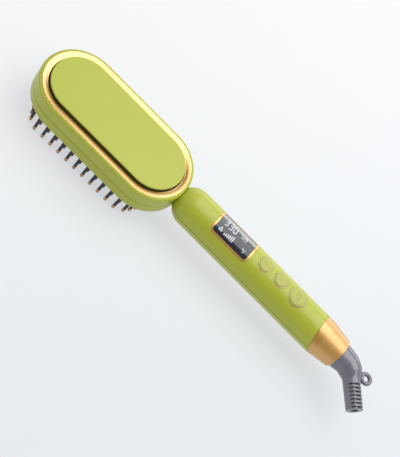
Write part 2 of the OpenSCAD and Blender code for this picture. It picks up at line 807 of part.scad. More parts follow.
// Board
module circuit_board() color(laminate) difference() {
    translate([board_x0, -board_w / 2, board_z]) cube([board_x1 - board_x0, board_w, board_t]);
    for (x = board_screw_x, s = [-1, 1]) translate([x, s * board_screw_y, board_z - 1])
        cylinder(h = board_t + 2, r = screw_r + fit, $fn = 24);
}

module board_screws() color(steel) for (x = board_screw_x, s = [-1, 1])
    translate([x, s * board_screw_y, board_top])
        screw_down(pilot_r - thread_gap, board_t + board_bite, screw_head_r, screw_head_t);

// Component of a size under the board, its middle at x
module under_board(x, size) translate([x - size[0] / 2, -size[1] / 2, board_z - size[2]]) cube(size);

module controller_chip() color(dark) under_board(display_mid, chip_size);

module triac() color(dark) under_board(button_x[1], triac_size);

module capacitor() color(film) under_board(button_x[0] - 3, capacitor_size);

// Buttons
module button_rings() color(gold) for (i = [0 : 2]) intersection() {
    translate([button_x[i], 0, axis_z]) difference() {
        cylinder(h = trim_top, r = button_ring_r[i]);
        translate([0, 0, -over]) cylinder(h = trim_top + 2 * over, r = cap_r[i] + fit);
    }
    difference() {
        bar(button_x[i] - key_span, button_x[i] + key_span, handle_r + trim_proud);
        bar(button_x[i] - key_span - over, button_x[i] + key_span + over, seat_r);
    }
}

module button(i) color(pale_green) {
    stem_z = switch_top + plunger_up;
    intersection() {
        translate([button_x[i], 0, axis_z]) cylinder(h = trim_top, r = cap_r[i]);
        difference() {
            bar(button_x[i] - key_span, button_x[i] + key_span, handle_r + cap_proud);
            bar(button_x[i] - key_span - over, button_x[i] + key_span + over, key_seat_r);
        }
    }
    intersection() {
        translate([button_x[i], 0, axis_z]) cylinder(h = handle_r, r = cap_r[i] + key_flange);
        difference() {
            bar(button_x[i] - key_span, button_x[i] + key_span, key_flange_r);
            bar(button_x[i] - key_span - over, button_x[i] + key_span + over, key_seat_r);
        }
    }
    translate([button_x[i], 0, stem_z]) cylinder(h = axis_z + key_stem_r - stem_z, r = stem_r);
}

module plus_button() button(0);
module minus_button() button(1);
module power_button() button(2);

module plunger(i) color(dark_lead) translate([button_x[i], 0, switch_top - plunger_in])
    cylinder(h = plunger_in + plunger_up, r = plunger_r);

module plus_plunger() plunger(0);
module minus_plunger() plunger(1);
module power_plunger() plunger(2);

module switch_bodies() color(steel) for (x = button_x) difference() {
    translate([x - switch_half, -switch_half, board_top])
        cube([2 * switch_half, 2 * switch_half, switch_h]);
    translate([x, 0, switch_top - plunger_in - fit - button_travel])
        cylinder(h = switch_h, r = plunger_r + slip);
}

// Collar and cord swivel
module end_collar() color(gold) difference() {
    union() {
        difference() {
            union() {
                bar(seam_x - 10, seam_x + 2, handle_r);
                bar(seam_x + 2, mouth_x - 0.6, handle_r, mouth_r + 0.06);
                bar(mouth_x - 0.6, mouth_x, mouth_r, mouth_r - 0.6);
            }
            before_seam(0.05);
        }
        bar(spigot_x0, seam_x + 2, spigot_r);
        bar(spigot_x0 + 1.1, spigot_x0 + 2.3, spigot_r + snap_r);
    }
    bar(spigot_x0 - 1, core_flange_x0, housing_bore);
    bar(core_flange_x0 - eps, lip_x0, core_flange_r + slack);
    bar(lip_x0 - 1, mouth_x, core_shaft_r + slip);
    bar(lip_x1, mouth_x + 1, neck_r + 0.2);
}

module swivel_housing() color(dark) difference() {
    bar(spigot_x0, housing_x1, housing_r);
    bar(spigot_x0 + housing_wall, housing_x1 - housing_bearing, chamber_r);
    bar(housing_x1 - housing_bearing - 1, housing_x1 + 1, core_rear_r + slip);
    for (s = [-1, 1])
        translate([spigot_x0 - 1, s * (contact_ring_r + slip + leaf_t / 2), axis_z])
            cube([2 * housing_wall + 4, leaf_t + 2 * fit, leaf_w + 2 * fit], center = true);
}

// Two leaves: one presses on the ring, the other is bent across the axis to the pin
module contact_springs() color(copper) {
    y = contact_ring_r + slip;
    translate([spigot_x0 - 1, y, axis_z - leaf_w / 2])
        cube([contact_ring_x1 - spigot_x0 + 0.6, leaf_t, leaf_w]);
    translate([spigot_x0 - 1, -y - leaf_t, axis_z - leaf_w / 2])
        cube([contact_pin_x0 - slip - spigot_x0 + 1, leaf_t, leaf_w]);
    translate([contact_pin_x0 - slip - leaf_t, -y - leaf_t, axis_z - leaf_w / 2])
        cube([leaf_t, y + leaf_t + contact_pin_r, leaf_w]);
}

module swivel_core() color([0.25, 0.25, 0.28]) difference() {
    union() {
        bar(core_end_x, contact_ring_x1, ring_seat_r);
        bar(contact_ring_x1, core_flange_x0 + eps, core_rear_r);
        bar(core_flange_x0, core_flange_x1, core_flange_r);
        bar(core_flange_x1 - eps, lip_x1 + 0.3, core_shaft_r);
        bar(lip_x1 + 0.3 - eps, lip_x1 + 0.3 + core_spigot_l, core_spigot_r);
    }
    bar(core_end_x - 1, core_end_x + 5, contact_pin_r + 0.02);
    bar(core_end_x + 5 - eps, mouth_x + 20, cord_bore_r - 0.6);
}

module contact_ring() color(copper) difference() {
    bar(contact_ring_x1 - contact_ring_l, contact_ring_x1, contact_ring_r);
    bar(core_end_x - 1, contact_ring_x1 + 1, ring_seat_r + 0.02);
}

module contact_pin() color(copper) bar(contact_pin_x0, core_end_x + 4.9, contact_pin_r);

// Rounded neck: radius falls from the mouth to a closed end past the bend
module neck_body() {
    l = neck_l + 5.3;
    n = 14;
    root = lip_x1 + 0.3;
    translate([mouth_x, 0, axis_z]) rotate([0, 90, 0]) rotate_extrude()
        polygon(concat([[0, root - mouth_x], [neck_r, root - mouth_x], [neck_r, 0]],
            [for (i = [1 : n]) let (u = i / n) [neck_r * sqrt(1 - pow(u, 2.6)), l * u]]));
}

// Turns children from the handle's axis into the sleeve's axis, with z along the sleeve
module on_sleeve() translate([bend_x, 0, axis_z]) rotate([0, 0, -bend]) rotate([0, 90, 0]) children();

module strain_relief() color(grey) {
    fin_x = mouth_x + 1;
    ring_x = bend_x + hang_out * sin(bend) + hang_along * cos(bend);
    ring_y = hang_out * cos(bend) - hang_along * sin(bend);
    fin_in = hang_r + hang_section;
    fin_end = slot_at - 1.6;
    difference() {
        union() {
            neck_body();
            on_sleeve() {
                sphere(sleeve_r + elbow);
                cylinder(h = sleeve_l, r1 = sleeve_r, r2 = sleeve_end_r);
            }
            translate([0, 0, axis_z - hang_fin / 2]) linear_extrude(hang_fin) polygon([
                [fin_x, 0], [fin_x, neck_r - 0.8], [fin_x + 6, neck_r - 0.6],
                [ring_x - 2, ring_y + fin_in], [ring_x, ring_y + fin_in], [ring_x + fin_in, ring_y],
                [bend_x + fin_end * cos(bend), -fin_end * sin(bend)], [bend_x, 0]]);
            translate([ring_x, ring_y, axis_z]) rotate_extrude() translate([hang_mid, 0])
                circle(hang_section, $fn = 24);
        }
        translate([ring_x, ring_y, axis_z - 3]) cylinder(h = 6, r = hang_r);
        on_sleeve() {
            cylinder(h = sleeve_l + 1, r = cord_bore_r);
            sphere(cord_bore_r + elbow);
            for (i = [0 : slot_rows - 1], c = slot_columns) rotate([0, 0, 180 - c[0] - c[1]])
                rotate_extrude(angle = c[1])
                    translate([sleeve_end_r - slot_depth, slot_at + i * slot_pitch])
                        square([slot_depth + 1, slot_w]);
        }
        bar(lip_x1, lip_x1 + 0.3 + core_spigot_l, core_spigot_r + 0.02);
        bar(lip_x1 + core_spigot_l, bend_x, cord_bore_r);
    }
}

module placed() translate([-mid_x, 0, 0]) children();

placed() head_upper_shell();
placed() head_lower_shell();
placed() trim_ring();
placed() back_panel();
placed() pin_frame();
placed() outer_pins();
placed() pin_tips();
placed() heating_plate();
placed() heated_teeth();
placed() ceramic_heater();
placed() insulation_sheet();
placed() pressure_strip();
placed() strip_screws();
placed() thermistor();
placed() thermal_fuse();
placed() heat_shield();
placed() frame_screws();
placed() neck_link();
placed() link_screws();
placed() heater_leads();
placed() sensor_leads();
placed() handle_upper_shell();
placed() handle_lower_shell();
placed() handle_screws();
placed() display_bezel();
placed() display_window();
placed() display_module();
placed() circuit_board();
placed() board_screws();
placed() controller_chip();
placed() triac();
placed() capacitor();
placed() switch_bodies();
placed() plus_button();
placed() minus_button();
placed() power_button();
placed() plus_plunger();
placed() minus_plunger();
placed() power_plunger();
placed() button_rings();
placed() supply_leads();
placed() end_collar();
placed() swivel_housing();
placed() contact_springs();
placed() swivel_core();
placed() contact_ring();
placed() contact_pin();
placed() strain_relief();
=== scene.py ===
import math
import bmesh
import bpy
import numpy as np
from mathutils import Matrix, Vector


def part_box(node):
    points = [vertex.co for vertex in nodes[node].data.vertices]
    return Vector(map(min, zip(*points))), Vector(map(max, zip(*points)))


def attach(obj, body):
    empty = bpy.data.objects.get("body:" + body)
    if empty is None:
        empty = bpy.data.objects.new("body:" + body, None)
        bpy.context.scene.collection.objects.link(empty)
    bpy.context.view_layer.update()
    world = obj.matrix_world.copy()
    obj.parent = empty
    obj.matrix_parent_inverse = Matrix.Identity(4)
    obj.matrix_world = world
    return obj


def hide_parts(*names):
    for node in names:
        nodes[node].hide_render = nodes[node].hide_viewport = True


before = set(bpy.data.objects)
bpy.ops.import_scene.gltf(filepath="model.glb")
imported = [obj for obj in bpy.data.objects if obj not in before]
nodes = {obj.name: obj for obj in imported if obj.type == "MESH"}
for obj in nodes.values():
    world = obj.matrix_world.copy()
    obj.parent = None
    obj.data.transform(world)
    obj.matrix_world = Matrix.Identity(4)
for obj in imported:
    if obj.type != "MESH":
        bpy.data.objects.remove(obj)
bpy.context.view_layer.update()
print("frame loaded,", len(nodes), "CAD nodes")

# Sizes in this script are millimetres: x from the middle of the head, y across, z up from the pin tips
mm = 0.001  # a millimetre in the frame's metres
lowHead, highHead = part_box("head_upper_shell")
headX = (lowHead[0] + highHead[0]) / 2


def toMetres(points):
    # millimetres about the middle of the head, to the frame's metres
    points = np.asarray(points, float).reshape(-1, 3) * mm
    points[:, 0] += headX
    return points


def linearColour(hexText):
    # sRGB hex to linear, with an alpha of one
    srgb = np.array([int(hexText[at:at + 2], 16) for at in (0, 2, 4)]) / 255
    linear = np.where(srgb <= 0.04045, srgb / 12.92, ((srgb + 0.055) / 1.055) ** 2.4)
    return (*[float(channel) for channel in linear], 1.0)


def addNode(tree, kind, values=None, links=None, **settings):
    # one node, with its settings, its socket values and what is linked into it
    node = tree.nodes.new(kind)
    for name, value in settings.items():
        setattr(node, name, value)
    for socket, value in (values or {}).items():
        node.inputs[socket].default_value = value
    for socket, source in (links or {}).items():
        tree.links.new(source, node.inputs[socket])
    return node


def newMaterial(name):
    # empty material with its output node
    material = bpy.data.materials.new(name)
    material.use_nodes = True
    tree = material.node_tree
    tree.nodes.clear()
    return material, tree, tree.nodes.new("ShaderNodeOutputMaterial")


def finishSurface(name, look):
    # a plastic or metal with soft drifts of tone and a fine relief: a noise's scale is 1000 by its size in mm
    material, tree, out = newMaterial(name)
    place = addNode(tree, "ShaderNodeTexCoord").outputs["Object"]
    drift = addNode(tree, "ShaderNodeTexNoise", {"Scale": 1000 / look["driftMm"], "Detail": 2.0},
                    {"Vector": place}).outputs["Fac"]
    grain = addNode(tree, "ShaderNodeTexNoise", {"Scale": 1000 / look["grainMm"], "Detail": 3.0},
                    {"Vector": place}).outputs["Fac"]
    base = addNode(tree, "ShaderNodeMix",
                   {"A": linearColour(look["deep"]), "B": linearColour(look["light"])},
                   {"Factor": drift}, data_type="RGBA")
    rough = addNode(tree, "ShaderNodeMapRange",
                    {"To Min": look["rough"][0], "To Max": look["rough"][1]}, {"Value": grain})
    bump = addNode(tree, "ShaderNodeBump",
                   {"Strength": look["bump"], "Distance": look["reliefMm"] * mm}, {"Height": grain})
    shader = addNode(tree, "ShaderNodeBsdfPrincipled", look["fixed"],
                     {"Base Color": base.outputs["Result"], "Roughness": rough.outputs["Result"],
                      "Normal": bump.outputs["Normal"]})
    tree.links.new(shader.outputs["BSDF"], out.inputs["Surface"])
    return material


finishes = {
    # satin moulded ABS: even yellow-green with a soft, broad highlight
    "mouldedAbs": dict(deep="A9AF2E", light="B1B735", driftMm=60, grainMm=0.9, rough=(0.30, 0.36),
                       bump=0.08, reliefMm=0.02, fixed={"IOR": 1.54}),
    # ABS of the panel, spark-eroded mould: nearly matt, a shade cooler
    "paleAbs": dict(deep="ADB43C", light="B4BA43", driftMm=45, grainMm=0.8, rough=(0.42, 0.5),
                    bump=0.12, reliefMm=0.02, fixed={"IOR": 1.54}),
    # ABS of the keys: finer mould, a shade greyer
    "keyAbs": dict(deep="A8AC44", light="B2B54E", driftMm=8, grainMm=0.5, rough=(0.36, 0.44),
                   bump=0.1, reliefMm=0.02, fixed={"IOR": 1.54}),
    # printed legend of the keys: a darker olive ink, matt
    "oliveInk": dict(deep="767E26", light="808A2E", driftMm=3, grainMm=0.3, rough=(0.5, 0.6),
                     bump=0.05, reliefMm=0.01, fixed={"IOR": 1.5}),
    # painted shade: a dark olive strip in the parting lines that stands for the shadow in their groove, dull
    "oliveSeal": dict(deep="2E3206", light="3C400A", driftMm=20, grainMm=0.5, rough=(0.5, 0.6),
                      bump=0.1, reliefMm=0.02, fixed={"IOR": 1.5, "Specular IOR Level": 0.3}),
    # painted shade: dark bronze hairlines beside the key rings, standing for the shadow in their gaps
    "bronzeShadow": dict(deep="66581C", light="766828", driftMm=8, grainMm=0.5, rough=(0.45, 0.55),
                         bump=0.1, reliefMm=0.02, fixed={"IOR": 1.5, "Specular IOR Level": 0.3}),
    # painted shade: an olive band on the panel's edge wall, standing for the shade on that wall, dull
    "panelSealRubber": dict(deep="4A520E", light="586214", driftMm=20, grainMm=0.5, rough=(0.5, 0.6),
                            bump=0.1, reliefMm=0.02, fixed={"IOR": 1.5, "Specular IOR Level": 0.3}),
    # painted shade: a near-black fill deep in the groove round the panel; the same near-black draws the
    # collar's joint line
    "blackSeal": dict(deep="120E04", light="1C1606", driftMm=20, grainMm=0.5, rough=(0.5, 0.6),
                      bump=0.1, reliefMm=0.02, fixed={"IOR": 1.5, "Specular IOR Level": 0.3}),
    # gold plating over polished ABS, lacquered: a warm mirror with slight haze under a clear gloss
    "goldPlating": dict(deep="D9A650", light="E2B260", driftMm=30, grainMm=1.6, rough=(0.17, 0.20),
                        bump=0.008, reliefMm=0.02,
                        fixed={"Metallic": 0.9, "Coat Weight": 1.0, "Coat IOR": 1.9,
                               "Coat Roughness": 0.12}),
    # pale champagne plating of the key rings, satin
    "champagnePlating": dict(deep="E2D688", light="ECE29A", driftMm=8, grainMm=0.8, rough=(0.34, 0.42),
                             bump=0.02, reliefMm=0.02,
                             fixed={"Metallic": 0.35, "Coat Weight": 1.0, "Coat IOR": 1.5,
                                    "Coat Roughness": 0.2}),
    # satin champagne-gold plating of the display bezel: softer than the ring's mirror
    "satinPlating": dict(deep="DCA654", light="E6B566", driftMm=20, grainMm=1.0, rough=(0.34, 0.40),
                         bump=0.01, reliefMm=0.02,
                         fixed={"Metallic": 0.85, "Coat Weight": 1.0, "Coat IOR": 1.6,
                                "Coat Roughness": 0.28}),
    # satin gold lacquer of the collar: warm, with a broad pale bloom
    "satinGold": dict(deep="C98E1E", light="D49C2C", driftMm=25, grainMm=1.0, rough=(0.40, 0.46),
                      bump=0.04, reliefMm=0.02,
                      fixed={"Metallic": 0.7, "Coat Weight": 1.0, "Coat IOR": 2.0,
                             "Coat Roughness": 0.32}),
    # glass-filled nylon: near-black blue, low sheen
    "darkNylon": dict(deep="0C0C14", light="14141F", driftMm=12, grainMm=0.6, rough=(0.42, 0.52),
                      bump=0.15, reliefMm=0.02, fixed={"IOR": 1.53, "Specular IOR Level": 0.3}),
    # dipped resin balls: translucent tan
    "tanResin": dict(deep="C79A5E", light="DDB783", driftMm=4, grainMm=0.5, rough=(0.2, 0.28),
                     bump=0.04, reliefMm=0.01,
                     fixed={"IOR": 1.5, "Subsurface Weight": 0.35, "Subsurface Scale": 0.001}),
    # ceramic coating on cast aluminium: dark with a faint metallic fleck
    "ceramicCoating": dict(deep="14141B", light="26262F", driftMm=2, grainMm=0.35, rough=(0.3, 0.46),
                           bump=0.25, reliefMm=0.02, fixed={"IOR": 1.6}),
    # fired alumina: chalky white
    "firedCeramic": dict(deep="E2DFD2", light="F0EEE4", driftMm=8, grainMm=0.4, rough=(0.55, 0.7),
                         bump=0.2, reliefMm=0.02, fixed={"IOR": 1.7}),
    # pressed mica: flaky buff with glints
    "pressedMica": dict(deep="B09E74", light="D8CDAC", driftMm=3, grainMm=0.8, rough=(0.3, 0.6),
                        bump=0.3, reliefMm=0.03, fixed={"IOR": 1.58}),
    # zinc-plated steel: dull grey metal
    "zincSteel": dict(deep="8F9196", light="B4B6BA", driftMm=2, grainMm=0.5, rough=(0.28, 0.42),
                      bump=0.1, reliefMm=0.01, fixed={"Metallic": 1.0}),
    # phosphor bronze: warm spring metal
    "phosphorBronze": dict(deep="B87440", light="D89A60", driftMm=3, grainMm=0.5, rough=(0.22, 0.34),
                           bump=0.08, reliefMm=0.01, fixed={"Metallic": 1.0}),
    # cast epoxy bead of the sensor: brick red, slightly glossy
    "castEpoxy": dict(deep="9C4524", light="B85B34", driftMm=2, grainMm=0.5, rough=(0.25, 0.4),
                      bump=0.1, reliefMm=0.02, fixed={"IOR": 1.55}),
    # silicone lead sleeve: soft, dusty white
    "siliconeSleeve": dict(deep="C6C6CC", light="DEDEE2", driftMm=5, grainMm=0.4, rough=(0.5, 0.65),
                           bump=0.15, reliefMm=0.01, fixed={"IOR": 1.41}),
    # dark silicone sleeve
    "darkSleeve": dict(deep="26262B", light="34343A", driftMm=5, grainMm=0.4, rough=(0.5, 0.65),
                       bump=0.15, reliefMm=0.01, fixed={"IOR": 1.41}),
    # epoxy glass laminate: green with the weave just under the skin
    "glassLaminate": dict(deep="14502C", light="1F6E3D", driftMm=1.4, grainMm=0.5, rough=(0.3, 0.4),
                          bump=0.15, reliefMm=0.02, fixed={"IOR": 1.55}),
    # moulded box of the film capacitor: glossy mustard
    "mustardBox": dict(deep="AC8728", light="C39D38", driftMm=6, grainMm=0.5, rough=(0.22, 0.32),
                       bump=0.06, reliefMm=0.02, fixed={"IOR": 1.55}),
    # moulded acetal of the plungers and the swivel core: dark, waxy
    "acetal": dict(deep="2A2A30", light="3A3A41", driftMm=5, grainMm=0.5, rough=(0.3, 0.4),
                   bump=0.08, reliefMm=0.02, fixed={"IOR": 1.48}),
    # glass cell of the display module
    "glassCell": dict(deep="2A3630", light="38463E", driftMm=10, grainMm=2, rough=(0.06, 0.12),
                      bump=0.02, reliefMm=0.02, fixed={"IOR": 1.52}),
    # lit segments of the display, seen just under the acrylic: clean white
    "litSegments": dict(deep="DCDDE0", light="E8E9EC", driftMm=2, grainMm=0.4, rough=(0.3, 0.4),
                        bump=0.02, reliefMm=0.01,
                        fixed={"IOR": 1.49, "Emission Color": linearColour("E6E8EC"),
                               "Emission Strength": 0.12}),
    # moulded elastomer of the strain relief: grey with a wet-looking streak of light
    "greyElastomer": dict(deep="62616A", light="72707A", driftMm=14, grainMm=0.7, rough=(0.18, 0.25),
                          bump=0.08, reliefMm=0.02, fixed={"IOR": 1.5, "Specular IOR Level": 1.0}),
}
material = {name: finishSurface(name, look) for name, look in finishes.items()}


def smokedWindowReflection(name, look):
    # polished smoked acrylic over the cell: dark navy along the near edge, with a painted grey reflection
    # toward the far side, its edge clouded by noise
    made, tree, out = newMaterial(name)
    place = addNode(tree, "ShaderNodeTexCoord").outputs["Object"]
    across = addNode(tree, "ShaderNodeSeparateXYZ", None, {"Vector": place}).outputs["Y"]
    cloud = addNode(tree, "ShaderNodeTexNoise", {"Scale": 1000 / look["driftMm"], "Detail": 1.0},
                    {"Vector": place}).outputs["Fac"]
    shift = addNode(tree, "ShaderNodeMath", {1: look["cloudMm"] * mm}, {0: cloud},
                    operation="MULTIPLY").outputs[0]
    height = addNode(tree, "ShaderNodeMath", None, {0: across, 1: shift}, operation="ADD").outputs[0]
    fade = addNode(tree, "ShaderNodeMapRange",
                   {"From Min": look["from"] * mm, "From Max": look["to"] * mm},
                   {"Value": height}, interpolation_type="SMOOTHSTEP").outputs["Result"]
    base = addNode(tree, "ShaderNodeMix",
                   {"A": linearColour(look["deep"]), "B": linearColour(look["light"])},
                   {"Factor": fade}, data_type="RGBA").outputs["Result"]
    shader = addNode(tree, "ShaderNodeBsdfPrincipled", look["fixed"], {"Base Color": base})
    tree.links.new(shader.outputs["BSDF"], out.inputs["Surface"])
    return made


# the grey across the window's far side is a painted reflection
material["smokedAcrylicReflection"] = smokedWindowReflection("smokedAcrylicReflection", {
    "deep": "181C28", "light": "8E8D88", "driftMm": 9, "cloudMm": 5, "from": 1.5, "to": 7.0,
    "fixed": {"IOR": 1.49, "Roughness": 0.07, "Coat Weight": 0.6, "Coat Roughness": 0.03}})
print("materials made,", len(material))

meshing = dict(merge=2e-6, shortest=1e-6, sharp=40)  # metres, metres, degrees


def gridFaces(rows, columns, closeRows, closeColumns):
    # quads of a grid whose points run row by row, carried on to the first row or column where it is closed
    row, column = np.meshgrid(np.arange(rows if closeRows else rows - 1),
                              np.arange(columns if closeColumns else columns - 1), indexing="ij")
    nextRow, nextColumn = (row + 1) % rows, (column + 1) % columns
    quads = [row * columns + column, row * columns + nextColumn,
             nextRow * columns + nextColumn, nextRow * columns + column]
    return np.stack(quads, -1).reshape(-1, 4)


def makePiece(name, points, faces, look, body, slot, replaced=()):
    # mesh object at the origin from points and faces, merged, with faces turned outwards
    mesh = bpy.data.meshes.new(name)
    mesh.from_pydata(toMetres(points).tolist(), [], [list(map(int, face)) for face in faces])
    work = bmesh.new()
    work.from_mesh(mesh)
    bmesh.ops.remove_doubles(work, verts=work.verts, dist=meshing["merge"])
    bmesh.ops.dissolve_degenerate(work, edges=work.edges, dist=meshing["shortest"])
    bmesh.ops.recalc_face_normals(work, faces=work.faces)
    for face in work.faces:
        face.smooth = True
    for edge in work.edges:
        if len(edge.link_faces) == 2 and edge.calc_face_angle(0) > math.radians(meshing["sharp"]):
            edge.smooth = False
    work.to_mesh(mesh)
    work.free()
    mesh.materials.append(material[look])
    piece = bpy.data.objects.new(name, mesh)
    bpy.context.scene.collection.objects.link(piece)
    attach(piece, body)
    if replaced:
        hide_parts(*replaced)
    return piece


def arc(centre, radius, start, end, steps):
    # points of a profile along an arc, angles in degrees
    angle = np.radians(np.linspace(start, end, steps))
    return np.stack([centre[0] + radius * np.cos(angle), centre[1] + radius * np.sin(angle)], -1)


# Head: half the distance between its end arcs, radii from those arcs' middles, heights, roundings
head = dict(half=33.25, radius=29.5, skin=27.2, partR=29.0, floorR=20, edgeZ=17.4, partZ=25.5, roofZ=32.5,
            floorZ=34.3, shoulderZ=34.5, seam=0.22, edgeRound=1.0, lowerRound=0.4, upperRound=0.45, lip=1.9,
            lipRound=0.15, lowerWall=(1.3, 0.6), upperWall=(0.9, 0.2), capSteps=72, straightSteps=12)


def roundHead(profile):
    # a profile of radius and height carried round the head: two half turns joined by straights
    turn = np.linspace(-90, 90, head["capSteps"] + 1)
    run = np.linspace(1, -1, head["straightSteps"] + 1)[1:-1]
    centre = np.concatenate([np.ones(len(turn)), run, -np.ones(len(turn)), -run]) * head["half"]
    angle = np.radians(np.concatenate([turn, np.full(len(run), 90), turn + 180, np.full(len(run), 270)]))
    radius, height = np.asarray(profile).T
    x = centre[:, None] + np.cos(angle)[:, None] * radius
    y = np.sin(angle)[:, None] * radius
    points = np.stack([x, y, np.broadcast_to(height, x.shape)], -1)
    # a profile that starts on the axis ends on it too, and stays open
    return points.reshape(-1, 3), gridFaces(len(angle), len(radius), True, bool(radius[0] > 0))


# Head shells: side wall, rolled lip, and a fine step at the parting line
upperZ = head["partZ"] + head["seam"]
upperR = head["radius"] - head["upperRound"]
lipR = head["radius"] - head["lip"]
lipZ = head["shoulderZ"] + head["lip"] - head["lipRound"]
edgeR = head["radius"] - head["edgeRound"]
stepR = head["radius"] - head["lowerRound"]
upperProfile = np.concatenate([
    [[head["skin"], upperZ], [head["partR"], upperZ]],
    arc((upperR, upperZ + head["upperRound"]), head["upperRound"], -90, 0, 7),
    [[head["radius"], head["partZ"] + head["upperWall"][0]],
     [head["radius"], head["shoulderZ"] - head["upperWall"][1]]],
    arc((lipR, head["shoulderZ"]), head["lip"], 0, 85, 14),
    arc((lipR + head["lipRound"], lipZ), head["lipRound"], 90, 180, 4),
    [[lipR, head["floorZ"]], [head["floorR"], head["floorZ"]],
     [head["floorR"], head["roofZ"]], [head["skin"], head["roofZ"]]]])
lowerProfile = np.concatenate([
    [[head["skin"], head["edgeZ"]]],
    arc((edgeR, head["edgeZ"] + head["edgeRound"]), head["edgeRound"], -90, 0, 9),
    [[head["radius"], head["edgeZ"] + head["lowerWall"][0]],
     [head["radius"], head["partZ"] - head["lowerWall"][1]]],
    arc((stepR, head["partZ"] - head["lowerRound"]), head["lowerRound"], 0, 90, 7),
    [[head["partR"], head["partZ"]], [head["skin"], head["partZ"]]]])
makePiece("headUpper", *roundHead(upperProfile), "mouldedAbs", "brush", "green_shell", ["head_upper_shell"])
makePiece("headLower", *roundHead(lowerProfile), "mouldedAbs", "brush", "green_shell", ["head_lower_shell"])


def strip(inner, outer, low, high):
    # four corners of a band's profile
    return [[inner, low], [outer, low], [outer, high], [inner, high]]


# a dark olive band in the head's parting-line step: painted shade of the groove
headShadeBand = dict(inner=27.4, outer=29.05, below=0.1, above=0.35)
headShadeProfile = strip(headShadeBand["inner"], headShadeBand["outer"],
                 head["partZ"] - headShadeBand["below"], head["partZ"] + headShadeBand["above"])
makePiece("headSeamShade", *roundHead(headShadeProfile), "oliveSeal", "brush", "green_shell")

# Gold ring: bevelled edges and a crowned top that falls inwards
ring = dict(inner=22.9, outer=27.56, topOuter=36.36, topInner=35.72, edge=0.3, crown=0.10, steps=12)
inward = np.linspace(0, 1, ring["steps"] + 1)
topR = ring["outer"] - ring["edge"] - inward * (ring["outer"] - ring["inner"] - 2 * ring["edge"])
topZ = (ring["topOuter"] - inward * (ring["topOuter"] - ring["topInner"])
        + ring["crown"] * (4 * inward * (1 - inward) - 1))
ringProfile = np.concatenate([
    [[ring["outer"], head["floorZ"]]],
    arc((ring["outer"] - ring["edge"], ring["topOuter"] - ring["edge"]), ring["edge"], 0, 75, 5),
    np.stack([topR, topZ], -1)[1:-1],
    arc((ring["inner"] + ring["edge"], ring["topInner"] - ring["edge"]), ring["edge"], 105, 180, 5),
    [[ring["inner"], head["floorZ"]]]])
makePiece("trimRing", *roundHead(ringProfile), "goldPlating", "brush", "gold_plated", ["trim_ring"])

# Raised panel with a softly rounded edge; an olive band on its wall and a near-black fill in the groove below
# are painted shade
panel = dict(radius=22.3, top=38.1, edge=0.7, foot=22.0, flatR=(21.5, 18, 9, 0), shadeTop=36.9,
             blackTop=36.0, lap=0.1, under=0.2, shadeFoot=0.2, shadeTip=0.12, grooveGap=0.02, grooveZ=35.3,
             grooveTip=0.26)
panelProfile = np.concatenate([
    [[0, head["floorZ"]], [panel["foot"], head["floorZ"]], [panel["foot"], panel["shadeTop"]]],
    arc((panel["radius"] - panel["edge"], panel["top"] - panel["edge"]), panel["edge"], -25, 90, 10),
    [[radius, panel["top"]] for radius in panel["flatR"]]])
shadeInnerR = panel["foot"] - panel["lap"]
grooveR = ring["inner"] - panel["grooveGap"]
wallShadeProfile = [[shadeInnerR, panel["blackTop"] - panel["under"]],
               [panel["foot"] + panel["shadeFoot"], panel["blackTop"] - panel["under"]],
               [panel["foot"] + panel["shadeTip"], panel["shadeTop"] + panel["lap"]],
               [shadeInnerR, panel["shadeTop"] + panel["lap"]]]
grooveProfile = [[shadeInnerR, head["floorZ"]], [grooveR, head["floorZ"]], [grooveR, panel["grooveZ"]],
                 [panel["foot"] + panel["grooveTip"], panel["blackTop"]], [shadeInnerR, panel["blackTop"]]]
makePiece("backPanel", *roundHead(panelProfile), "paleAbs", "brush", "pale_green", ["back_panel"])
makePiece("panelSeal", *roundHead(wallShadeProfile), "panelSealRubber", "brush", "pale_green")
makePiece("grooveShadeFill", *roundHead(grooveProfile), "blackSeal", "brush", "pale_green")
print("head made")

# Pins: two long rows and an arc of pins at each end; teeth: a grid inside the plate
pins = dict(pitch=7.4, rowY=26.2, shift=-1.4, rowHalf=5, arcR=38, arcX=13, cornerDrop=3.5, endHalf=5,
            sides=14)
teeth = dict(shift=-0.7, pitchY=7.16667, halfX=6, halfY=3, reach=33.3, slack=0.001)


def pinPlaces():
    # rows at an even pitch, then arcs at even angles
    x = np.arange(-pins["rowHalf"], pins["rowHalf"] + 1) * pins["pitch"] + pins["shift"]
    rows = [np.stack([x, np.full(len(x), side * pins["rowY"])], -1) for side in (-1, 1)]
    widest = math.asin((pins["rowY"] - pins["cornerDrop"]) / pins["arcR"])
    angle = np.arange(-pins["endHalf"], pins["endHalf"] + 1) * widest / pins["endHalf"]
    reach = pins["arcX"] + pins["arcR"] * np.cos(angle)
    ends = [np.stack([pins["shift"] + side * reach, pins["arcR"] * np.sin(angle)], -1) for side in (-1, 1)]
    return np.concatenate(rows + ends)


def toothPlaces():
    # a grid of teeth, kept inside the heating plate's outline
    x, y = np.meshgrid(np.arange(-teeth["halfX"], teeth["halfX"] + 1) * pins["pitch"] + teeth["shift"],
                       np.arange(-teeth["halfY"], teeth["halfY"] + 1) * teeth["pitchY"], indexing="ij")
    x, y = x.ravel(), y.ravel()
    keep = np.hypot(np.maximum(np.abs(x) - pins["arcX"], 0), y) <= teeth["reach"] + teeth["slack"]
    return np.stack([x, y], -1)[keep]


def turnedAt(places, profile, sides):
    # one turned form, from a profile of radius and height that starts and ends on its axis, at each place
    radius, height = np.asarray(profile).T
    angle = np.arange(sides) * 2 * np.pi / sides
    ringX = np.cos(angle)[:, None] * radius
    ringY = np.sin(angle)[:, None] * radius
    one = np.stack([ringX, ringY, np.broadcast_to(height, ringX.shape)], -1).reshape(-1, 3)
    points = (one[None] + np.pad(places, ((0, 0), (0, 1)))[:, None]).reshape(-1, 3)
    quads = gridFaces(sides, len(radius), True, False)
    faces = (quads[None] + (np.arange(len(places)) * len(one))[:, None, None]).reshape(-1, 4)
    return points, faces


